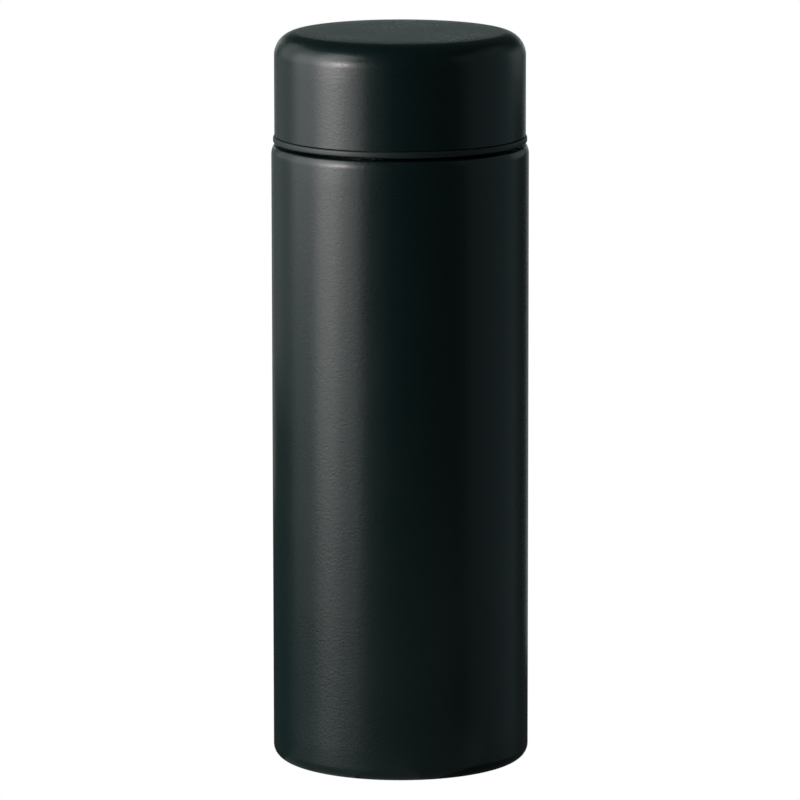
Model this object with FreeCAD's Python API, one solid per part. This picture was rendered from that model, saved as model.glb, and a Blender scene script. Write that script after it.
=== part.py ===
import FreeCAD, Part

# A slim double-walled steel vacuum bottle with a screw cap, in millimetres.
# +Z is up. The origin is the centre of the standing rim, on the surface the bottle stands on.
# Every piece is a body of revolution about Z, apart from the two-start threads, the ribs in the
# inner cap, the foil's overlap and the getter. Sheet-metal pieces are an outline and a thickness.

import math
import os

# Driving dimensions
BODY_R = 33.0            # outside of the barrel
HEIGHT = 189.0           # top of the cap
SHOULDER_Z = 160.0       # flat top of the barrel, round the neck
LIP_Z = 176.4            # top of the mouth's rolled lip
SHELL_T = 0.4            # outer steel
LINER_T = 0.3            # inner steel
VACUUM_GAP = 3.0         # between the two walls of the barrel

# Barrel edges
FOOT_EDGE_R = 3.3        # round between the barrel and the standing rim
FOOT_R = 27.0            # inside of the standing rim
RECESS_WALL = 3.5        # height of the rim's inner wall
EDGE_LEAN = math.radians(20)   # slope between the barrel's side and its shoulder
EDGE_RISE = 1.55         # height of that slope
EDGE_LOW_R = 4.0         # rounds at the slope's foot and top
EDGE_HIGH_R = 0.8
RIM_FOLD_R = 1.2         # tight fold at the inside of the standing rim

# Neck, mouth and liner
NECK_R = 23.1            # outside of the threaded neck
NECK_HEM = 1.0           # upstand of the shoulder round the neck
MOUTH_R = 21.0           # inside of the mouth
THROAT_R = 19.8          # narrowest place, under the gasket's ledge
THROAT_Z = 158.6         # lower end of the throat
LINER_TAPER = 7.0        # height of the cone between the belly and the throat
LEDGE_Z = 163.6          # foot of the conical ledge
LINER_R = BODY_R - SHELL_T - VACUUM_GAP - LINER_T   # inside of the liner
LINER_FLOOR_Z = 8.2
LINER_FLOOR_RISE = 1.0   # how far the middle of its bottom is raised
LINER_WELD_Z = 14.0      # the liner's wall meets its bottom here

# Closing cap
CAP_R = 32.2             # painted cover
CAP_EDGE_R = 5.9         # round between the cover's side and its top
COVER_Z = 162.6          # lower edge of the cover
RIM_R = 32.55            # moulded rim under the cover
RIM_TOP_Z = 162.4
RIM_TOP_EDGE_R = 0.6
RIM_BOTTOM_Z = 160.7
RIM_BOTTOM_EDGE_R = 0.45
GLUE_GAP = 0.2           # between the cover and the moulded wall inside it
CAP_WALL_T = 1.4
CAP_FLOOR_T = 1.6
SKIRT_R = 24.5           # inside of the threaded skirt
SKIRT_T = 2.1
ROOF_Z = 177.6           # underside of the roof above the mouth
ROOF_T = 1.6
PLUG_R = 20.3            # plug inside the mouth
PLUG_BOTTOM_Z = 162.6
PLUG_TIP_R = 19.2        # plug inside the throat
PLUG_T = 1.4             # side wall of the plug
PLUG_FLOOR_T = 1.6
LOOSE = 0.3              # all round the foam puck in the plug
GROOVE_R = 18.2          # floor of the gasket's groove
GROOVE_LOW_Z = 165.4
GROOVE_HIGH_Z = 168.0

# Thread, the same helix on both sides
THREAD_STARTS = 2
THREAD_LEAD = 8.0        # rise in one turn
FLANK = math.tan(math.radians(30))
NECK_THREAD_Z = 165.2    # middle of the neck's ridge where it starts
NECK_THREAD_TURNS = 0.9
NECK_THREAD_DEPTH = 1.1
NECK_THREAD_BASE = 2.2   # width of the ridge at the neck
CAP_THREAD_Z = 165.6     # middle of the cap's ridge where it starts
CAP_THREAD_TURNS = 0.7
CAP_THREAD_DEPTH = 1.1
CAP_THREAD_BASE = 2.7    # width of the ridge at the skirt
THREAD_ROOT = 0.25       # how deep a ridge is let into its wall

# Small parts
FOIL_T = 0.12
FOIL_CLEAR = 0.05
FOIL_LAP_DEG = 20
BOTTOM_T = 0.6
SEAL_R = 4.8             # dimple that holds the seal bead
SEAL_DEPTH = 1.6
SEAL_HOLE_R = 0.8
BOTTOM_Z = 3.0           # underside of the welded bottom
PLATE_Z = 1.5            # underside of the base plate
PLATE_R = 26.1
PLATE_T = 0.4
PLATE_RAISED_R = 11.0    # its middle is raised inside this radius
PLATE_RAISED = 0.3
PLATE_EDGE = 1.1         # height of its turned-up edge
TAPE_IN_R = 13.0
TAPE_OUT_R = 24.1
GETTER_AT = (13.0, 0.0)
GETTER_R = 4.0
GETTER_T = 1.8
CLIP_T = 0.3
RIB_COUNT = 8
RIB_T = 1.2

AXIS = FreeCAD.Vector(0, 0, 1)
ORIGIN = FreeCAD.Vector(0, 0, 0)


def corner(before, at, after, radius):
    """Start, middle and end of the arc that rounds a corner of an outline."""
    to_before = (before - at).normalize()
    to_after = (after - at).normalize()
    half = to_before.getAngle(to_after) / 2
    inward = (to_before + to_after).normalize()
    reach = radius / math.tan(half)
    centre = at + inward * (radius / math.sin(half))
    return at + to_before * reach, centre - inward * radius, at + to_after * reach


def turned(outline):
    """The solid swept about Z by a closed outline of (radius, height) or (radius, height, rounding)."""
    points = [FreeCAD.Vector(p[0], 0, p[1]) for p in outline]
    rounding = [p[2] if len(p) > 2 else 0 for p in outline]
    edges = []
    starts = []
    ends = []
    for i, at in enumerate(points):
        if rounding[i] > 0:
            start, middle, end = corner(points[i - 1], at, points[(i + 1) % len(points)], rounding[i])
            edges.append(Part.Arc(start, middle, end).toShape())
        else:
            start = end = at
        starts.append(start)
        ends.append(end)
    for i, end in enumerate(ends):
        start = starts[(i + 1) % len(starts)]
        if end.distanceToPoint(start) > 1e-6:
            edges.append(Part.LineSegment(end, start).toShape())
    face = Part.Face(Part.Wire(Part.__sortEdges__(edges)))
    return face.revolve(ORIGIN, AXIS, 360)


def offset(path, by):
    """The open path moved sideways, to its left where by is positive, keeping its bends concentric."""
    points = [FreeCAD.Vector(p[0], p[1], 0) for p in path]
    runs = [(b - a).normalize() for a, b in zip(points, points[1:])]
    left = [FreeCAD.Vector(-run.y, run.x, 0) for run in runs]
    moved = []
    for i, at in enumerate(points):
        before = left[max(i - 1, 0)]
        after = left[min(i, len(left) - 1)]
        place = at + (before + after) * (by / (1 + before.dot(after)))
        rounding = 0
        if len(path[i]) > 2:
            turns_left = runs[i - 1].cross(runs[i]).z > 0
            rounding = max(path[i][2] + (-by if turns_left else by), 0)
        moved.append((place.x, place.y, rounding))
    return moved


def sheet(path, thickness):
    """A turned sheet-metal piece: its path and the same path a thickness to the left."""
    return turned(path + offset(path, thickness)[::-1])


def ring(inner, outer, low, high):
    """A plain ring of rectangular section."""
    return turned([(inner, low), (outer, low), (outer, high), (inner, high)])


def disc(radius, low, high, edge=0):
    """A plain disc, its outer edges rounded."""
    return turned([(0, low), (radius, low, edge), (radius, high, edge), (0, high)])


def thread_ridges(wall_r, crest_r, base, start_z, turns):
    """The helical ridges of a thread, which stand on a wall at wall_r and reach crest_r."""
    outwards = 1 if crest_r > wall_r else -1
    root_r = wall_r - outwards * THREAD_ROOT
    crest = base - 2 * FLANK * abs(crest_r - wall_r)
    root = base + 2 * FLANK * THREAD_ROOT
    section = [(root_r, -root / 2), (crest_r, -crest / 2), (crest_r, crest / 2), (root_r, root / 2)]
    corners = [FreeCAD.Vector(r, 0, z) for r, z in section]
    profile = Part.makePolygon(corners + corners[:1])
    helix = Part.makeHelix(THREAD_LEAD, turns * THREAD_LEAD, root_r)
    ridge = Part.Wire(helix.Edges).makePipeShell([profile], True, True)
    ridges = []
    for start in range(THREAD_STARTS):
        one = ridge.copy()
        one.translate(FreeCAD.Vector(0, 0, start_z))
        one.rotate(ORIGIN, AXIS, start * 360 / THREAD_STARTS)
        ridges.append(one)
    return ridges


def make_outer_shell():
    """Barrel: standing rim, side, shoulder and the upstand that is welded to the neck."""
    slope_top_r = BODY_R - EDGE_RISE * math.tan(EDGE_LEAN)
    hem_r = NECK_R + SHELL_T
    path = [
        (FOOT_R, RECESS_WALL),
        (FOOT_R, 0, RIM_FOLD_R),
        (BODY_R, 0, FOOT_EDGE_R),
        (BODY_R, SHOULDER_Z - EDGE_RISE, EDGE_LOW_R),
        (slope_top_r, SHOULDER_Z, EDGE_HIGH_R),
        (hem_r, SHOULDER_Z, NECK_HEM / 2),
        (hem_r, SHOULDER_Z + NECK_HEM),
    ]
    return sheet(path, SHELL_T)


def make_outer_bottom():
    """Bottom welded into the standing rim, with the dimple and hole through which air was drawn out."""
    path = [
        (SEAL_HOLE_R, BOTTOM_Z + SEAL_DEPTH),
        (SEAL_R - SEAL_DEPTH, BOTTOM_Z + SEAL_DEPTH, 0.5),
        (SEAL_R, BOTTOM_Z, 0.8),
        (FOOT_R - BOTTOM_T, BOTTOM_Z, 0.4),
        (FOOT_R - BOTTOM_T, PLATE_Z - 0.3),
    ]
    return sheet(path, BOTTOM_T)


def make_seal_bead():
    """Glass bead melted into the dimple, with a short tail in the hole."""
    top = BOTTOM_Z + SEAL_DEPTH
    return turned([
        (0, BOTTOM_Z + 0.4),
        (2.6, BOTTOM_Z + 0.5, 1.0),
        (SEAL_R - SEAL_DEPTH - 0.3, top),
        (SEAL_HOLE_R, top),
        (SEAL_HOLE_R, top + BOTTOM_T - 0.1),
        (0, top + BOTTOM_T - 0.1),
    ])


def make_base_adhesive():
    """Die-cut ring of double-sided tape between the base plate and the welded bottom."""
    return ring(TAPE_IN_R, TAPE_OUT_R, PLATE_Z + PLATE_T, BOTTOM_Z)


def make_base_plate():
    """Steel cover disc in the recess, its edge turned up and its middle slightly raised."""
    path = [
        (0, PLATE_Z + PLATE_RAISED),
        (PLATE_RAISED_R, PLATE_Z + PLATE_RAISED, 0.6),
        (PLATE_RAISED_R + 0.8, PLATE_Z, 0.6),
        (PLATE_R, PLATE_Z, 0.5),
        (PLATE_R, PLATE_Z + PLATE_EDGE),
    ]
    return sheet(path, PLATE_T)


def make_inner_liner():
    """Drinking side of the wall: belly, shoulder, throat, gasket ledge and mouth with its lip."""
    lip_middle = (MOUTH_R + NECK_R) / 2
    ledge_rise = MOUTH_R - THROAT_R
    path = [
        (LINER_R, LINER_WELD_Z),
        (LINER_R, THROAT_Z - LINER_TAPER, 5.0),
        (THROAT_R, THROAT_Z, 2.5),
        (THROAT_R, LEDGE_Z, 0.5),
        (MOUTH_R, LEDGE_Z + ledge_rise, 0.5),
        (MOUTH_R, LIP_Z, lip_middle - MOUTH_R - 0.01),
        (lip_middle, LIP_Z),
    ]
    return sheet(path, -LINER_T)


def make_inner_bottom():
    """Dished bottom of the liner, raised in the middle."""
    path = [
        (0, LINER_FLOOR_Z + LINER_FLOOR_RISE),
        (15.0, LINER_FLOOR_Z + LINER_FLOOR_RISE, 20.0),
        (21.0, LINER_FLOOR_Z, 12.0),
        (LINER_R, LINER_FLOOR_Z, 4.5),
        (LINER_R, LINER_WELD_Z),
    ]
    return sheet(path, -LINER_T)


def make_neck_sleeve():
    """Outer wall of the neck, rolled in at the lip, with the thread that the cap runs on."""
    lip_middle = (MOUTH_R + NECK_R) / 2
    path = [
        (NECK_R, SHOULDER_Z - SHELL_T),
        (NECK_R, LIP_Z, NECK_R - lip_middle - 0.01),
        (lip_middle, LIP_Z),
    ]
    crest_r = NECK_R + NECK_THREAD_DEPTH
    ridges = thread_ridges(NECK_R, crest_r, NECK_THREAD_BASE, NECK_THREAD_Z, NECK_THREAD_TURNS)
    return sheet(path, SHELL_T).fuse(ridges)


def make_copper_foil():
    """Foil wrapped once round the liner, with the lap where its ends cross."""
    inner = LINER_R + LINER_T + FOIL_CLEAR
    low = LINER_WELD_Z + 2
    high = SHOULDER_Z - 14
    outer = inner + FOIL_T
    wrap = ring(inner, outer, low, high)
    lap_ring = [(outer, low), (outer + FOIL_T, low), (outer + FOIL_T, high), (outer, high)]
    corners = [FreeCAD.Vector(r, 0, z) for r, z in lap_ring]
    lap = Part.Face(Part.makePolygon(corners + corners[:1])).revolve(ORIGIN, AXIS, FOIL_LAP_DEG)
    return wrap.fuse(lap)


def make_getter_pill():
    """Pressed pill that takes up the last gas in the vacuum."""
    low = BOTTOM_Z + BOTTOM_T + CLIP_T
    pill = disc(GETTER_R, low, low + GETTER_T, 0.3)
    pill.translate(FreeCAD.Vector(*GETTER_AT, 0))
    return pill


def make_getter_clip():
    """Thin steel cup that holds the pill on the welded bottom."""
    low = BOTTOM_Z + BOTTOM_T
    wall_r = GETTER_R + 0.05
    cup = turned([
        (0, low),
        (wall_r + CLIP_T, low),
        (wall_r + CLIP_T, low + 1.4),
        (wall_r, low + 1.4),
        (wall_r, low + CLIP_T),
        (0, low + CLIP_T),
    ])
    cup.translate(FreeCAD.Vector(*GETTER_AT, 0))
    return cup


def make_cap_shell():
    """Painted steel cover of the cap."""
    path = [(CAP_R, COVER_Z), (CAP_R, HEIGHT, CAP_EDGE_R), (0, HEIGHT)]
    return sheet(path, SHELL_T)


def make_inner_cap():
    """Moulded cap: visible rim, outer wall, threaded skirt, roof over the mouth and ribs between."""
    wall_r = CAP_R - SHELL_T - GLUE_GAP
    wall_inner = wall_r - CAP_WALL_T
    skirt_outer = SKIRT_R + SKIRT_T
    pocket_z = RIM_BOTTOM_Z + CAP_FLOOR_T
    wall_top = HEIGHT - CAP_EDGE_R - 1.1
    roof_top = ROOF_Z + ROOF_T
    body = turned([
        (SKIRT_R, RIM_BOTTOM_Z),
        (RIM_R, RIM_BOTTOM_Z, RIM_BOTTOM_EDGE_R),
        (RIM_R, RIM_TOP_Z, RIM_TOP_EDGE_R),
        (wall_r, RIM_TOP_Z),
        (wall_r, wall_top, 0.4),
        (wall_inner, wall_top, 0.4),
        (wall_inner, pocket_z),
        (skirt_outer, pocket_z),
        (skirt_outer, roof_top),
        (0, roof_top),
        (0, ROOF_Z),
        (SKIRT_R, ROOF_Z),
    ])
    # A rib reaches a little way into the walls and the floor that it joins.
    bite = CAP_WALL_T / 2
    rib_start = skirt_outer - bite
    rib = Part.makeBox(wall_inner + bite - rib_start, RIB_T, roof_top - pocket_z + bite)
    rib.translate(FreeCAD.Vector(rib_start, -RIB_T / 2, pocket_z - bite))
    ribs = []
    for i in range(RIB_COUNT):
        one = rib.copy()
        one.rotate(ORIGIN, AXIS, i * 360 / RIB_COUNT)
        ribs.append(one)
    crest_r = SKIRT_R - CAP_THREAD_DEPTH
    ridges = thread_ridges(SKIRT_R, crest_r, CAP_THREAD_BASE, CAP_THREAD_Z, CAP_THREAD_TURNS)
    # The cap's ridges lie midway between the neck's, so they are turned until both helices agree.
    pitch = THREAD_LEAD / THREAD_STARTS
    turn = (CAP_THREAD_Z - NECK_THREAD_Z - pitch / 2) / THREAD_LEAD * 360
    for ridge in ridges:
        ridge.rotate(ORIGIN, AXIS, turn)
    return body.fuse(ribs + ridges)


def make_stopper_plug():
    """Hollow plug welded under the roof, with the groove for the gasket."""
    inside_r = GROOVE_R - PLUG_T
    step_z = GROOVE_HIGH_Z + PLUG_T
    floor_z = PLUG_BOTTOM_Z + PLUG_FLOOR_T
    return turned([
        (0, PLUG_BOTTOM_Z),
        (PLUG_TIP_R, PLUG_BOTTOM_Z, 1.2),
        (PLUG_TIP_R, GROOVE_LOW_Z),
        (GROOVE_R, GROOVE_LOW_Z),
        (GROOVE_R, GROOVE_HIGH_Z),
        (PLUG_R, GROOVE_HIGH_Z),
        (PLUG_R, ROOF_Z),
        (PLUG_R - PLUG_T, ROOF_Z),
        (PLUG_R - PLUG_T, step_z),
        (inside_r, step_z),
        (inside_r, floor_z),
        (0, floor_z),
    ])


def make_plug_insulation():
    """Foam puck that lies loose inside the plug."""
    low = PLUG_BOTTOM_Z + PLUG_FLOOR_T + LOOSE
    return disc(GROOVE_R - PLUG_T - LOOSE, low, ROOF_Z - LOOSE, 0.8)


def make_top_insulation():
    """Foam disc between the roof of the inner cap and the steel cover."""
    return disc(SKIRT_R + SKIRT_T, ROOF_Z + ROOF_T, HEIGHT - SHELL_T - 0.1, 1.0)


def make_cap_gasket():
    """Silicone ring in the groove, with the lip that presses on the ledge of the mouth."""
    seal_r = MOUTH_R - 0.15
    lip_z = LEDGE_Z + (seal_r - THROAT_R) + 0.25
    return turned([
        (GROOVE_R + 0.02, GROOVE_LOW_Z + 0.02, 0.2),
        (PLUG_TIP_R + 0.2, GROOVE_LOW_Z + 0.02),
        (seal_r - 0.55, lip_z, 0.15),
        (seal_r, lip_z, 0.2),
        (seal_r, lip_z + 1.1, 0.4),
        (PLUG_TIP_R + 0.5, GROOVE_HIGH_Z - 0.5, 0.3),
        (PLUG_TIP_R + 0.5, GROOVE_HIGH_Z - 0.02, 0.2),
        (GROOVE_R + 0.02, GROOVE_HIGH_Z - 0.02, 0.2),
    ])


PIECES = {
    "outer_shell": make_outer_shell,
    "outer_bottom": make_outer_bottom,
    "seal_bead": make_seal_bead,
    "base_adhesive": make_base_adhesive,
    "base_plate": make_base_plate,
    "inner_liner": make_inner_liner,
    "inner_bottom": make_inner_bottom,
    "neck_sleeve": make_neck_sleeve,
    "copper_foil": make_copper_foil,
    "getter_pill": make_getter_pill,
    "getter_clip": make_getter_clip,
    "cap_shell": make_cap_shell,
    "inner_cap": make_inner_cap,
    "stopper_plug": make_stopper_plug,
    "plug_insulation": make_plug_insulation,
    "top_insulation": make_top_insulation,
    "cap_gasket": make_cap_gasket,
}


def main():
    os.makedirs("parts", exist_ok=True)
    for name, make in PIECES.items():
        piece = make()
        print(f"{name}: {len(piece.Solids)} solid, valid {piece.isValid()}, {piece.Volume:.1f} mm3")
        piece.exportStep(f"parts/{name}.step")


main()
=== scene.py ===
import math

import bmesh
import bpy
from mathutils import Euler, Matrix, Vector


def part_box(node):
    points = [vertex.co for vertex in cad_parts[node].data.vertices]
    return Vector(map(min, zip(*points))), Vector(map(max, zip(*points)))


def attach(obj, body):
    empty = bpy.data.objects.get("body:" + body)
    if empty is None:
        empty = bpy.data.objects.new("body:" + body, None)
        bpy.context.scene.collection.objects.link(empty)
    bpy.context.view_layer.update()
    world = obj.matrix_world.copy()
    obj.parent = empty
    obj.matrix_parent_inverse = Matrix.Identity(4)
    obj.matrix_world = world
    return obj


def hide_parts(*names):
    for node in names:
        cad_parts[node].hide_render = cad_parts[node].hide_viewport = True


# A matt black vacuum flask with a screw cap. Outer radii and levels come from the CAD nodes' own
# boxes. The dimensions inside those boxes are written here, in millimetres. Blender's own units
# are metres.

MM = 0.001
AROUND = 288             # segments of every turned piece
ARC_STEP = math.radians(7.5)
LONG_STEP = 6.0          # longest stretch of a turned piece's outline between two rings
THREAD_STEP = 0.16       # the same along a threaded wall
CLOSE = 0.005            # radii nearer than this are one wall
THREAD_SHARP = 75.0      # edges of a threaded piece that turn by fewer degrees are shaded smooth

# Sheet thicknesses
SHELL_T = 0.4
LINER_T = 0.3
BOTTOM_T = 0.6

# The mouth, where the neck outside and the liner inside meet in a rounded lip
NECK_R = 23.1
LIP_R = 22.05
MOUTH_R = 21.0
LIP_ROUND = 1.04

# Threads, the same helix on the neck and in the cap. Turns and levels are of a ridge's middle.
STARTS = 2
LEAD = 8.0
FLANK_RUN = 0.64         # axial width of a flank
NECK_THREAD = {"from_z": 165.2, "turns": 0.9, "depth": 1.1, "base": 2.2, "turned": 0.0}
CAP_THREAD = {"from_z": 165.6, "turns": 0.7, "depth": 1.1, "base": 2.7, "turned": -72.0}
RUN_OUT = 0.035          # turns over which a ridge fades in and out

# Ribs inside the moulded cap
RIBS = 8
RIB_FOOT_T = 1.2
RIB_TOP_T = 0.9
RIB_EASE = 0.25

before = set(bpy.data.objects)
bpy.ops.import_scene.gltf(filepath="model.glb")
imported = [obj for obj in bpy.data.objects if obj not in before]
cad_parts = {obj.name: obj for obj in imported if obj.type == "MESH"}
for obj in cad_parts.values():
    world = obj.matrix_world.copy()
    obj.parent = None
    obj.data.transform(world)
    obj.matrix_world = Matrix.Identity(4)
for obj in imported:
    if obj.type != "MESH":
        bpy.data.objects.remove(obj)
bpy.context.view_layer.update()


def node_mm(node):
    """Outer radius, lowest and highest level of a CAD node that is round about Z, in millimetres."""
    low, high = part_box(node)
    return high[0] / MM, low[2] / MM, high[2] / MM


# ---------------------------------------------------------------- outlines and turned meshes

def arc_points(before, at, after, radius):
    """Points of the arc that rounds a corner."""
    to_before = (before - at).normalized()
    to_after = (after - at).normalized()
    half = to_before.angle(to_after) / 2
    reach = radius / math.tan(half)
    centre = at + (to_before + to_after).normalized() * (radius / math.sin(half))
    start = at + to_before * reach - centre
    turn = math.pi - 2 * half
    if start.x * to_before.y - start.y * to_before.x > 0:
        turn = -turn
    count = max(3, math.ceil(abs(turn) / ARC_STEP))
    return [centre + Matrix.Rotation(turn * i / count, 2) @ start for i in range(count + 1)]


def rounded(outline):
    """The points of a closed outline of (radius, height) or (radius, height, rounding)."""
    corners = [Vector(p[:2]) for p in outline]
    points = []
    for i, at in enumerate(corners):
        rounding = outline[i][2] if len(outline[i]) > 2 else 0
        if rounding > 0:
            points += arc_points(corners[i - 1], at, corners[(i + 1) % len(corners)], rounding)
        else:
            points.append(at)
    return points


def offset(path, by):
    """The open path moved to its left by a distance, keeping its bends concentric."""
    points = [Vector(p[:2]) for p in path]
    runs = [(b - a).normalized() for a, b in zip(points, points[1:])]
    left = [Vector((-run.y, run.x)) for run in runs]
    moved = []
    for i, at in enumerate(points):
        before = left[max(i - 1, 0)]
        after = left[min(i, len(left) - 1)]
        place = at + (before + after) * (by / (1 + before.dot(after)))
        rounding = 0
        if len(path[i]) > 2:
            turns_left = runs[i - 1].x * runs[i].y - runs[i - 1].y * runs[i].x > 0
            rounding = max(path[i][2] + (-by if turns_left else by), 0)
        moved.append((place.x, place.y, rounding))
    return moved


def sheet(path, thickness):
    """The closed outline of a sheet-metal section that follows an open path."""
    return path + offset(path, thickness)[::-1]


def link(name, mesh, material, body, slot, *nodes):
    """Puts a finished mesh in the scene as a piece that rides on a body and replaces CAD nodes."""
    mesh.materials.append(material)
    piece = bpy.data.objects.new(name, mesh)
    bpy.context.scene.collection.objects.link(piece)
    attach(piece, body)
    if nodes:
        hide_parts(*nodes)
    return piece


def ring_levels(points, threaded):
    """The same closed outline with its long runs divided, and finely along a threaded wall."""
    result = []
    for a, b in zip(points, points[1:] + points[:1]):
        on_thread = threaded and max(abs(a.x - threaded), abs(b.x - threaded)) < CLOSE
        on_axis = max(a.x, b.x) < CLOSE
        step = THREAD_STEP if on_thread else LONG_STEP
        count = 1 if on_axis else max(1, math.ceil((b - a).length / step))
        result += [a.lerp(b, i / count) for i in range(count)]
    return result


def turned(name, outline, threaded=None, ridges=None, sharp=40.0):
    """A mesh swept about Z. ridges(angle, height) moves the wall at the threaded radius outwards."""
    points = ring_levels(rounded(outline), threaded)
    area = sum(a.x * b.y - b.x * a.y for a, b in zip(points, points[1:] + points[:1]))
    if area < 0:
        points.reverse()     # an anticlockwise outline gives faces that look outwards
    vertices = []
    rings = []
    for p in points:
        if p.x < CLOSE:
            rings.append([len(vertices)] * AROUND)
            vertices.append((0, 0, p.y * MM))
            continue
        on_thread = threaded and abs(p.x - threaded) < CLOSE
        rings.append(list(range(len(vertices), len(vertices) + AROUND)))
        for k in range(AROUND):
            angle = 2 * math.pi * k / AROUND
            r = p.x + (ridges(angle, p.y) if on_thread else 0)
            vertices.append((r * math.cos(angle) * MM, r * math.sin(angle) * MM, p.y * MM))
    faces = []
    for a, b in zip(rings, rings[1:] + rings[:1]):
        if a[0] == a[1] and b[0] == b[1]:
            continue
        for k in range(AROUND):
            n = (k + 1) % AROUND
            corners = [a[k], a[n], b[n], b[k]]
            faces.append([c for i, c in enumerate(corners) if c not in corners[:i]])
    mesh = bpy.data.meshes.new(name)
    mesh.from_pydata(vertices, [], faces)
    shade(mesh, sharp)
    return mesh


def shade(mesh, sharp):
    """Smooth shading, apart from edges that turn by more than an angle in degrees."""
    for polygon in mesh.polygons:
        polygon.use_smooth = True
    mesh.set_sharp_from_angle(angle=math.radians(sharp))


def smoothstep(x):
    """0 up to x = 0, 1 from x = 1 on, and smooth between."""
    x = min(max(x, 0.0), 1.0)
    return x * x * (3 - 2 * x)


def ridge_height(thread, angle, z):
    """How far a thread's ridges stand off their wall at an angle and a height."""
    height = 0.0
    for start in range(STARTS):
        begin = math.radians(thread["turned"]) + start * 2 * math.pi / STARTS
        turn = ((angle - begin) / (2 * math.pi)) % 1.0
        if turn > thread["turns"]:
            continue
        off = abs(z - thread["from_z"] - LEAD * turn)
        flank = smoothstep((thread["base"] / 2 - off) / FLANK_RUN)
        fade = smoothstep(turn / RUN_OUT) * smoothstep((thread["turns"] - turn) / RUN_OUT)
        height = max(height, thread["depth"] * flank * fade)
    return height


# ---------------------------------------------------------------- materials

def new_material(name, colour, roughness, metallic=0.0):
    """A material with its uniform values on the shader's own sockets."""
    material = bpy.data.materials.new(name)
    material.use_nodes = True
    shader = material.node_tree.nodes["Principled BSDF"]
    shader.inputs["Base Color"].default_value = (*colour, 1.0)
    shader.inputs["Roughness"].default_value = roughness
    shader.inputs["Metallic"].default_value = metallic
    return material, material.node_tree, shader


def place(tree):
    """Coordinates in metres in the flask's frame."""
    return tree.nodes.new("ShaderNodeTexCoord").outputs["Object"]


def noise(tree, vector, size, detail=2.0, rough=0.5, squash=None):
    """Noise whose grains are about size metres across; squash scales the three axes first."""
    if squash:
        scaled = tree.nodes.new("ShaderNodeVectorMath")
        scaled.operation = "MULTIPLY"
        scaled.inputs[1].default_value = squash
        tree.links.new(vector, scaled.inputs[0])
        vector = scaled.outputs[0]
    node = tree.nodes.new("ShaderNodeTexNoise")
    node.inputs["Scale"].default_value = 1.0 / size
    node.inputs["Detail"].default_value = detail
    node.inputs["Roughness"].default_value = rough
    tree.links.new(vector, node.inputs["Vector"])
    return node.outputs["Fac"]


def ramp(tree, value, low, high, to_low, to_high):
    """The value mapped from one range to another, and held at the ends."""
    node = tree.nodes.new("ShaderNodeMapRange")
    node.inputs["From Min"].default_value = low
    node.inputs["From Max"].default_value = high
    node.inputs["To Min"].default_value = to_low
    node.inputs["To Max"].default_value = to_high
    tree.links.new(value, node.inputs["Value"])
    return node.outputs["Result"]


def calc(tree, operation, a, b):
    """A Math node on two numbers or outputs."""
    node = tree.nodes.new("ShaderNodeMath")
    node.operation = operation
    for socket, value in zip(node.inputs, (a, b)):
        if isinstance(value, (int, float)):
            socket.default_value = value
        else:
            tree.links.new(value, socket)
    return node.outputs[0]


def mix_colours(tree, share, dark, light):
    """The first colour where share is 0 and the second where it is 1."""
    node = tree.nodes.new("ShaderNodeMix")
    node.data_type = "RGBA"
    node.inputs["A"].default_value = (*dark, 1.0)
    node.inputs["B"].default_value = (*light, 1.0)
    tree.links.new(share, node.inputs["Factor"])
    return node.outputs["Result"]


def bump(tree, shader, height, depth, strength=1.0):
    """Bumps of a height in metres on the shader's normal."""
    node = tree.nodes.new("ShaderNodeBump")
    node.inputs["Strength"].default_value = strength
    node.inputs["Distance"].default_value = depth
    tree.links.new(height, node.inputs["Height"])
    tree.links.new(node.outputs["Normal"], shader.inputs["Normal"])


def round_streaks(tree, fine, along):
    """Noise in rings round Z: fine metres across the rings, and long along them."""
    split = tree.nodes.new("ShaderNodeSeparateXYZ")
    tree.links.new(place(tree), split.inputs[0])
    x, y, z = split.outputs
    square = calc(tree, "ADD", calc(tree, "POWER", x, 2), calc(tree, "POWER", y, 2))
    radius = calc(tree, "SQRT", square, 0)
    radius = calc(tree, "MAXIMUM", radius, 1e-6)
    spread = tree.nodes.new("ShaderNodeCombineXYZ")
    for socket, value in zip(spread.inputs, (x, y)):
        tree.links.new(calc(tree, "MULTIPLY", calc(tree, "DIVIDE", value, radius), along), socket)
    tree.links.new(calc(tree, "DIVIDE", z, fine), spread.inputs[2])
    node = tree.nodes.new("ShaderNodeTexNoise")
    node.noise_dimensions = "4D"
    node.inputs["Scale"].default_value = 1.0
    node.inputs["Detail"].default_value = 3.0
    tree.links.new(spread.outputs[0], node.inputs["Vector"])
    tree.links.new(calc(tree, "DIVIDE", radius, fine), node.inputs["W"])
    return node.outputs["Fac"]


def powder_coat():
    """Baked matt black powder coat: fine orange peel, grain and slightly uneven gloss."""
    material, tree, shader = new_material("black_powder_coat", (0.0012, 0.0077, 0.0077), 0.3)
    where = place(tree)
    grain = noise(tree, where, 0.0007, 1.0, 0.5, (0.8, 0.8, 1.25))
    peel = noise(tree, where, 0.0016, 1.0)
    cloud = noise(tree, where, 0.018, 3.0)
    tree.links.new(mix_colours(tree, cloud, (0.0010, 0.0070, 0.0070), (0.0014, 0.0084, 0.0084)),
                   shader.inputs["Base Color"])
    tree.links.new(ramp(tree, calc(tree, "ADD", grain, cloud), 0.6, 1.4, 0.26, 0.32),
                   shader.inputs["Roughness"])
    bump(tree, shader, calc(tree, "ADD", grain, calc(tree, "MULTIPLY", peel, 0.5)), 0.000021)
    return material


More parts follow.
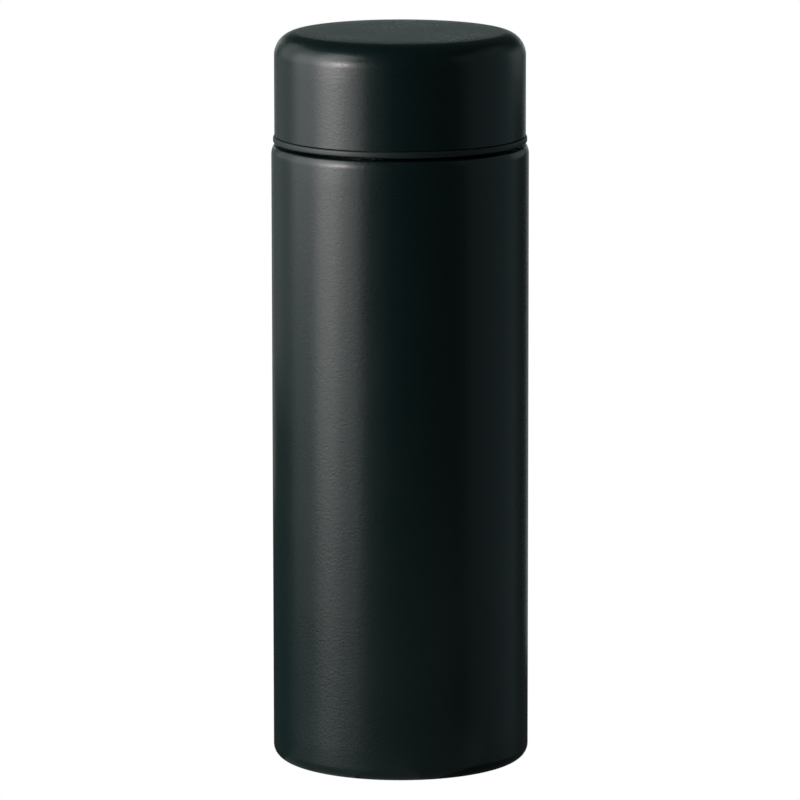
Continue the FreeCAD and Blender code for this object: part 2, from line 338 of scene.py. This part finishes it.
def moulded_black():
    """Black polypropylene from a spark-textured mould."""
    material, tree, shader = new_material("black_plastic", (0.0055, 0.0125, 0.0120), 0.46)
    where = place(tree)
    spark = noise(tree, where, 0.00022, 2.0, 0.6)
    cloud = noise(tree, where, 0.012, 2.0)
    tree.links.new(mix_colours(tree, cloud, (0.0048, 0.0112, 0.0108), (0.0062, 0.0138, 0.0132)),
                   shader.inputs["Base Color"])
    tree.links.new(ramp(tree, spark, 0.3, 0.7, 0.41, 0.50), shader.inputs["Roughness"])
    bump(tree, shader, spark, 0.000016)
    return material


def stopper_plastic():
    """Smooth dark plastic of the plug, with faint flow marks."""
    material, tree, shader = new_material("stopper_plastic", (0.022, 0.023, 0.024), 0.32)
    where = place(tree)
    flow = noise(tree, where, 0.006, 3.0, 0.6)
    dust = noise(tree, where, 0.0004, 2.0)
    tree.links.new(mix_colours(tree, flow, (0.019, 0.020, 0.021), (0.026, 0.027, 0.028)),
                   shader.inputs["Base Color"])
    tree.links.new(ramp(tree, dust, 0.3, 0.7, 0.27, 0.37), shader.inputs["Roughness"])
    bump(tree, shader, calc(tree, "ADD", flow, calc(tree, "MULTIPLY", dust, 0.15)), 0.00003)
    return material


def turned_steel(name, tint, roughness, groove, fine=0.00012):
    """Bare stainless steel with polishing marks that run round it."""
    material, tree, shader = new_material(name, tint, roughness, 1.0)
    streak = round_streaks(tree, fine, 2.5)
    cloud = noise(tree, place(tree), 0.01, 3.0)
    darker = tuple(0.86 * c for c in tint)
    tree.links.new(mix_colours(tree, ramp(tree, cloud, 0.3, 0.7, 0, 1), darker, tint),
                   shader.inputs["Base Color"])
    tree.links.new(ramp(tree, calc(tree, "ADD", streak, calc(tree, "MULTIPLY", cloud, 0.4)),
                        0.45, 0.95, roughness * 0.8, roughness * 1.25), shader.inputs["Roughness"])
    shader.inputs["Anisotropic"].default_value = 0.35
    bump(tree, shader, streak, groove)
    return material


def silicone():
    """Translucent grey silicone with a trace of dust."""
    material, tree, shader = new_material("silicone", (0.50, 0.50, 0.48), 0.42)
    where = place(tree)
    dust = noise(tree, where, 0.0003, 3.0, 0.7)
    cloud = noise(tree, where, 0.004, 2.0)
    tree.links.new(mix_colours(tree, cloud, (0.44, 0.44, 0.42), (0.55, 0.55, 0.53)),
                   shader.inputs["Base Color"])
    tree.links.new(ramp(tree, dust, 0.3, 0.7, 0.36, 0.52), shader.inputs["Roughness"])
    shader.inputs["Subsurface Weight"].default_value = 0.25
    shader.inputs["Subsurface Scale"].default_value = 0.001
    bump(tree, shader, dust, 0.000012)
    return material


def foam():
    """Closed-cell foam: small pale cells with darker walls."""
    material, tree, shader = new_material("foam", (0.78, 0.78, 0.75), 0.9)
    cells_per_metre = 1600.0
    cells = tree.nodes.new("ShaderNodeTexVoronoi")
    cells.inputs["Scale"].default_value = cells_per_metre
    tree.links.new(place(tree), cells.inputs["Vector"])
    from_middle = cells.outputs["Distance"]
    tree.links.new(mix_colours(tree, ramp(tree, from_middle, 0.0, 0.7, 0, 1),
                               (0.84, 0.84, 0.81), (0.62, 0.62, 0.59)), shader.inputs["Base Color"])
    tree.links.new(ramp(tree, from_middle, 0.0, 0.7, 0.85, 0.97), shader.inputs["Roughness"])
    bump(tree, shader, from_middle, -0.0001)
    return material


def copper():
    """Thin rolled copper foil, with fine wrinkles."""
    material, tree, shader = new_material("copper", (0.86, 0.46, 0.32), 0.3, 1.0)
    where = place(tree)
    wrinkle = noise(tree, where, 0.006, 4.0, 0.6, squash=(1.0, 1.0, 0.4))
    tree.links.new(mix_colours(tree, wrinkle, (0.72, 0.36, 0.24), (0.92, 0.55, 0.40)),
                   shader.inputs["Base Color"])
    tree.links.new(ramp(tree, wrinkle, 0.3, 0.7, 0.22, 0.4), shader.inputs["Roughness"])
    bump(tree, shader, wrinkle, 0.0004)
    return material


def grainy(name, dark, light, roughness, grain, depth, metallic=0.0):
    """A plain material with grains of one size, for the small sealed pieces."""
    material, tree, shader = new_material(name, light, roughness, metallic)
    speck = noise(tree, place(tree), grain, 3.0, 0.65)
    tree.links.new(mix_colours(tree, ramp(tree, speck, 0.35, 0.65, 0, 1), dark, light),
                   shader.inputs["Base Color"])
    tree.links.new(ramp(tree, speck, 0.3, 0.7, roughness * 0.85, min(roughness * 1.15, 1.0)),
                   shader.inputs["Roughness"])
    bump(tree, shader, speck, depth)
    return material


# ---------------------------------------------------------------- the flask

def make_barrel(paint, steel):
    """Painted outer wall, and the bare hem round the neck where the paint was masked."""
    radius, _, top = node_mm("outer_shell")
    hem_height = 1.0
    shoulder = top - hem_height
    hem = NECK_R + SHELL_T
    recess = 27.0
    slope = 1.55
    slope_top = radius - slope * math.tan(math.radians(20))
    masked = hem + 0.9
    path = [
        (recess, 3.5),
        (recess, 0.0, 1.2),
        (radius, 0.0, 3.3),
        (radius, shoulder - slope, 4.0),
        (slope_top, shoulder, 0.8),
        (masked, shoulder),
    ]
    link("painted_barrel", turned("painted_barrel", sheet(path, SHELL_T)), paint,
         "flask", "black_powder_coat", "outer_shell")
    inset = 0.02
    bare = [(masked, shoulder - inset), (hem, shoulder - inset, 0.5), (hem, top - inset)]
    link("neck_weld_hem", turned("neck_weld_hem", sheet(bare, SHELL_T - 0.03)), steel,
         "flask", "base_steel", "outer_shell")


def make_neck(steel):
    """Neck with its rolled thread, which fades out at both ends, and the outer half of the lip."""
    _, low, top = node_mm("neck_sleeve")

    def rolled(angle, z):
        return ridge_height(NECK_THREAD, angle, z)

    path = [(NECK_R, low), (NECK_R, top, LIP_ROUND), (LIP_R, top)]
    mesh = turned("rolled_neck", sheet(path, SHELL_T), NECK_R, rolled, sharp=THREAD_SHARP)
    link("rolled_neck", mesh, steel, "flask", "liner_steel", "neck_sleeve")


def make_liner(steel):
    """Drinking wall up to the lip, and its stamped bottom."""
    radius, low, top = node_mm("inner_liner")
    inside = radius - LINER_T
    throat = 19.8
    wall = [
        (inside, low),
        (inside, 151.6, 5.0),
        (throat, 158.6, 2.5),
        (throat, 163.6, 0.5),
        (MOUTH_R, 164.8, 0.5),
        (MOUTH_R, top, LIP_ROUND),
        (LIP_R, top),
    ]
    link("drinking_liner", turned("drinking_liner", sheet(wall, -LINER_T)), steel,
         "flask", "liner_steel", "inner_liner")
    _, under, weld = node_mm("inner_bottom")
    floor = under + LINER_T
    boss = floor + 1.0
    stamped = [
        (0.0, boss),
        (8.0, boss, 1.5),
        (9.0, floor + 0.7, 1.5),
        (15.0, floor + 0.7, 20.0),
        (21.0, floor, 12.0),
        (inside, floor, 4.5),
        (inside, weld),
    ]
    link("stamped_bottom", turned("stamped_bottom", sheet(stamped, -LINER_T)), steel,
         "flask", "liner_steel", "inner_bottom")


def make_base(steel):
    """Welded bottom with its dimple and hole, and the spun plate that covers it."""
    hole = 0.8
    dimple = 4.6
    flat = 3.0
    weld = 26.4
    welded = [
        (hole, dimple),
        (3.2, dimple, 0.5),
        (4.8, flat, 0.8),
        (weld, flat, 0.4),
        (weld, 1.2),
    ]
    link("welded_bottom", turned("welded_bottom", sheet(welded, BOTTOM_T)), steel,
         "flask", "base_steel", "outer_bottom")
    radius, low, _ = node_mm("base_plate")
    dish = low + 0.3
    plate = [
        (0.0, dish),
        (10.9, dish, 0.8),
        (11.9, low, 0.8),
        (19.4, low, 0.6),
        (19.9, low + 0.15, 0.4),
        (20.4, low, 0.6),
        (radius, low, 0.5),
        (radius, low + 1.1),
    ]
    link("spun_base_plate", turned("spun_base_plate", sheet(plate, SHELL_T)), steel,
         "flask", "base_steel", "base_plate")


# ---------------------------------------------------------------- the cap

def make_cover(paint):
    """Painted steel cover with a full round between its side and its flat top."""
    radius, low, top = node_mm("cap_shell")
    path = [(radius, low), (radius, top, 5.9), (0.0, top)]
    link("cap_cover", turned("cap_cover", sheet(path, SHELL_T)), paint,
         "cap", "black_powder_coat", "cap_shell")


def make_inner_cap(plastic):
    """Moulded cap: the rim below the cover, the threaded skirt, the roof and the ribs between."""
    rim, low, wall_top = node_mm("inner_cap")
    _, _, roof = node_mm("stopper_plug")
    plastic_t = 1.6
    skirt = 24.5
    skirt_outer = skirt + 2.1
    glue_gap = 0.2
    wall = node_mm("cap_shell")[0] - SHELL_T - glue_gap
    wall_inner = wall - 1.4
    rim_top = low + 1.7
    floor = low + plastic_t
    roof_top = roof + plastic_t
    outline = [
        (skirt, low, 0.35),
        (rim, low, 0.45),
        (rim, rim_top, 0.6),
        (wall, rim_top),
        (wall, wall_top, 0.4),
        (wall_inner, wall_top, 0.4),
        (wall_inner, floor, 0.4),
        (skirt_outer, floor, 0.4),
        (skirt_outer, roof_top),
        (0.0, roof_top),
        (0.0, roof),
        (skirt, roof, 0.4),
    ]

    def moulded(angle, z):
        return -ridge_height(CAP_THREAD, angle, z)

    mesh = turned("moulded_cap", outline, skirt, moulded, sharp=THREAD_SHARP)
    link("moulded_cap", mesh, plastic, "cap", "black_plastic", "inner_cap")
    bite = 0.3
    make_ribs(plastic, skirt_outer - bite, wall_inner + bite, floor - bite, roof_top)


def make_ribs(plastic, inner, outer, low, high):
    """Upright ribs that brace the skirt, thinner towards their free top edge, which is eased."""
    ribs = bmesh.new()
    for k in range(RIBS):
        turn = Matrix.Rotation(2 * math.pi * k / RIBS, 3, "Z")
        layers = []
        for z, thickness in ((low, RIB_FOOT_T), (high, RIB_TOP_T)):
            layers.append([ribs.verts.new(turn @ Vector((r, side * thickness / 2, z)) * MM)
                           for r, side in ((inner, -1), (outer, -1), (outer, 1), (inner, 1))])
        foot, top = layers
        ribs.faces.new(foot[::-1])
        ribs.faces.new(top)
        for i in range(4):
            n = (i + 1) % 4
            ribs.faces.new((foot[i], foot[n], top[n], top[i]))
        long_edges = [ribs.edges.get((top[0], top[1])), ribs.edges.get((top[2], top[3]))]
        bmesh.ops.bevel(ribs, geom=long_edges, offset=RIB_EASE * MM, segments=3, affect="EDGES",
                        profile=0.5)
    mesh = bpy.data.meshes.new("cap_ribs")
    ribs.to_mesh(mesh)
    ribs.free()
    shade(mesh, 40.0)
    link("cap_ribs", mesh, plastic, "cap", "black_plastic", "inner_cap")


def make_plug(plastic, rubber):
    """Plug that closes the mouth, with its gate mark, and the lipped gasket in its groove."""
    radius, low, top = node_mm("stopper_plug")
    tip = 19.2
    groove = 18.2
    groove_low = 165.4
    groove_high = 168.0
    wall = 1.4
    floor_top = low + 1.6
    gate = low + 0.25
    recess = low + 0.5
    outline = [
        (0.0, gate),
        (0.9, gate, 0.15),
        (1.1, recess, 0.15),
        (14.6, recess, 0.8),
        (15.4, low, 0.5),
        (tip, low, 1.2),
        (tip, groove_low, 0.2),
        (groove, groove_low, 0.15),
        (groove, groove_high, 0.15),
        (radius, groove_high, 0.3),
        (radius, top),
        (radius - wall, top),
        (radius - wall, groove_high + wall),
        (groove - wall, groove_high + wall),
        (groove - wall, floor_top),
        (0.0, floor_top),
    ]
    link("mouth_plug", turned("mouth_plug", outline), plastic, "cap", "stopper_plastic", "stopper_plug")
    seal, seal_low, _ = node_mm("cap_gasket")
    slack = 0.02
    ring = [
        (groove + slack, groove_low + slack, 0.2),
        (tip + 0.2, groove_low + slack, 0.2),
        (seal - 0.55, seal_low, 0.25),
        (seal, seal_low, 0.22),
        (seal, seal_low + 1.1, 0.4),
        (tip + 0.5, groove_high - 0.5, 0.3),
        (tip + 0.5, groove_high - slack, 0.2),
        (groove + slack, groove_high - slack, 0.2),
    ]
    link("lipped_gasket", turned("lipped_gasket", ring), rubber, "cap", "silicone", "cap_gasket")


def finish_hidden_nodes():
    """Materials for the sealed pieces, whose CAD shapes are already right."""
    white_foam = foam()
    hidden = {
        "plug_insulation": white_foam,
        "top_insulation": white_foam,
        "copper_foil": copper(),
        "getter_pill": grainy("getter_alloy", (0.10, 0.10, 0.11), (0.24, 0.24, 0.25), 0.75, 0.0003,
                              0.00004, 0.6),
        "getter_clip": grainy("clip_steel", (0.42, 0.42, 0.41), (0.58, 0.58, 0.56), 0.35, 0.0009,
                              0.00001, 1.0),
        "seal_bead": grainy("solder_glass", (0.03, 0.025, 0.02), (0.13, 0.11, 0.09), 0.12, 0.0008,
                            0.00002),
        "base_adhesive": grainy("foam_tape", (0.55, 0.55, 0.52), (0.72, 0.72, 0.69), 0.85, 0.0005,
                                0.00005),
    }
    for node, material in hidden.items():
        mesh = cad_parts[node].data
        mesh.materials.clear()
        mesh.materials.append(material)


# ---------------------------------------------------------------- stage, light and camera

def stage_piece(name, points, faces, material):
    """A stage mesh that only the camera sees, so that the paint reflects the lights alone."""
    mesh = bpy.data.meshes.new(name)
    mesh.from_pydata(points, [], faces)
    mesh.materials.append(material)
    piece = bpy.data.objects.new(name, mesh)
    bpy.context.scene.collection.objects.link(piece)
    piece.visible_diffuse = False
    piece.visible_glossy = False
    piece.visible_transmission = False
    piece.visible_shadow = False


def make_stage():
    """A plain floor and a dome round it, both white enough to show no shadow and no horizon."""
    white = bpy.data.materials.new("stage_white")
    white.use_nodes = True
    tree = white.node_tree
    tree.nodes.clear()
    glow = tree.nodes.new("ShaderNodeEmission")
    tree.links.new(glow.outputs[0], tree.nodes.new("ShaderNodeOutputMaterial").inputs["Surface"])
    around = 48
    up = 12
    size = 8.0
    near_pole = 0.999        # keeps the dome's end rings from shrinking to a point
    points = []
    for j in range(up + 1):
        lift = math.pi * (j / up - 0.5) * near_pole
        for k in range(around):
            turn = 2 * math.pi * k / around
            points.append((size * math.cos(lift) * math.cos(turn),
                           size * math.cos(lift) * math.sin(turn),
                           size * math.sin(lift)))
    quads = [(j * around + k, j * around + (k + 1) % around,
              (j + 1) * around + (k + 1) % around, (j + 1) * around + k)
             for j in range(up) for k in range(around)]
    stage_piece("backdrop", points, quads, white)
    edge = [(size * math.cos(2 * math.pi * k / around), size * math.sin(2 * math.pi * k / around), 0.0)
            for k in range(around)]
    stage_piece("floor", edge, [range(around)], white)


def make_camera():
    """Long lens, a little above the cap and tilted down to the middle of the flask."""
    from_upright = 79.984    # degrees, where 90 looks level
    yaw = 0.0035
    roll = -0.067
    camera = bpy.data.cameras.new("camera")
    camera.sensor_width = 36.0
    camera.lens = 299.3
    camera.clip_end = 50.0
    holder = bpy.data.objects.new("camera", camera)
    bpy.context.scene.collection.objects.link(holder)
    holder.location = (0.0, -1.6885, 0.3917)
    aim = Euler((math.radians(from_upright), 0.0, math.radians(yaw))).to_matrix()
    twist = Matrix.Rotation(math.radians(roll), 3, "Z")
    holder.rotation_euler = (aim @ twist).to_euler()
    bpy.context.scene.camera = holder


def area_light(name, location, rotation, width, depth, watts, colour):
    """A rectangular light that the camera doesn't see."""
    light = bpy.data.lights.new(name, "AREA")
    light.shape = "RECTANGLE"
    light.size = width
    light.size_y = depth
    light.energy = watts
    light.color = colour
    holder = bpy.data.objects.new(name, light)
    bpy.context.scene.collection.objects.link(holder)
    holder.location = location
    holder.rotation_euler = rotation
    holder.visible_camera = False


def softbox(name, azimuth, elevation, distance, width, height, watts, colour):
    """A light that faces the flask's middle. Azimuth 0 is the camera's side, 90 is the right."""
    a = math.radians(azimuth)
    e = math.radians(elevation)
    away = Vector((math.sin(a) * math.cos(e), -math.cos(a) * math.cos(e), math.sin(e)))
    middle = Vector((0.0, 0.0, 0.1))
    facing = (-away).to_track_quat("-Z", "Y").to_euler()
    area_light(name, middle + away * distance, facing, width, height, watts, colour)


def floor_glow(name, x, y, width, depth, watts, colour):
    """Light thrown up by the white floor in front of the flask."""
    area_light(name, (x, y, 0.0), (math.pi, 0.0, 0.0), width, depth, watts, colour)


def make_lights():
    """A tall bank on the left, brightest at its near side, weak fills elsewhere, and a dim room."""
    warm = (1.07, 0.99, 0.965)
    mild = (0.995, 1.01, 1.0)
    green = (0.96, 1.02, 1.01)
    cool = (0.89, 1.06, 1.06)
    cold = (0.76, 1.12, 1.17)
    dim_room = 0.04
    for name, azimuth, elevation, distance, width, height, watts, colour in (
            ("bank_near", -67.5, 20, 1.1, 0.56, 1.36, 8.15, mild),
            ("bank_far", -97.5, 14, 1.1, 0.56, 1.2, 1.2, green),
            ("bank_edge", -44, 8, 1.1, 0.32, 0.8, 1.5, mild),
            ("bank_fade", -24, 2, 1.1, 0.4, 0.6, 0.06, cool),
            ("bank_core", -63, 9, 1.1, 0.46, 0.34, 2.4, warm),
            ("bank_high", -55, 14, 1.1, 0.2, 0.2, 2.4, warm),
            ("bank_wrap", -105, 22, 1.1, 1.66, 0.8, 2.45, green),
            ("side_card", -95, 14, 0.5, 0.25, 0.35, 0.27, green),
            ("low_card", -126, 2, 0.3, 0.2, 0.12, 0.02, green),
            ("right_fill", 95, 13, 1.1, 1.56, 1.46, 0.98, cold),
            ("right_card", 128, 24, 0.22, 0.09, 0.08, 0.006, cool),
            ("right_rim", 160, -4, 0.35, 0.08, 0.24, 0.025, cool),
            ("left_rim", -157, 5, 0.35, 0.06, 0.26, 0.018, green),
            ("back_fill", 180, 6, 1.1, 0.8, 0.2, 0.285, cool)):
        softbox(name, azimuth, elevation, distance, width, height, watts, colour)
    floor_glow("floor_left", -0.042, -0.025, 0.06, 0.03, 0.00055, mild)
    floor_glow("floor_middle", -0.04, -0.038, 0.09, 0.03, 0.0005, mild)
    floor_glow("floor_near", 0.0, -0.06, 0.12, 0.06, 0.0018, cool)
    floor_glow("floor_far", -0.02, -0.2, 0.5, 0.2, 0.031, cool)
    world = bpy.data.worlds.new("world")
    bpy.context.scene.world = world
    world.use_nodes = True
    background = world.node_tree.nodes["Background"]
    background.inputs["Color"].default_value = (*cool, 1.0)
    background.inputs["Strength"].default_value = dim_room


def main():
    paint = powder_coat()
    plastic = moulded_black()
    liner_steel = turned_steel("liner_steel", (0.62, 0.60, 0.57), 0.27, 0.0000015)
    base_steel = turned_steel("base_steel", (0.60, 0.58, 0.56), 0.33, 0.000003)
    make_barrel(paint, base_steel)
    make_neck(liner_steel)
    make_liner(liner_steel)
    make_base(base_steel)
    make_cover(paint)
    make_inner_cap(plastic)
    make_plug(stopper_plastic(), silicone())
    finish_hidden_nodes()
    make_stage()
    make_camera()
    make_lights()
    bpy.context.scene.view_settings.view_transform = "Standard"


main()
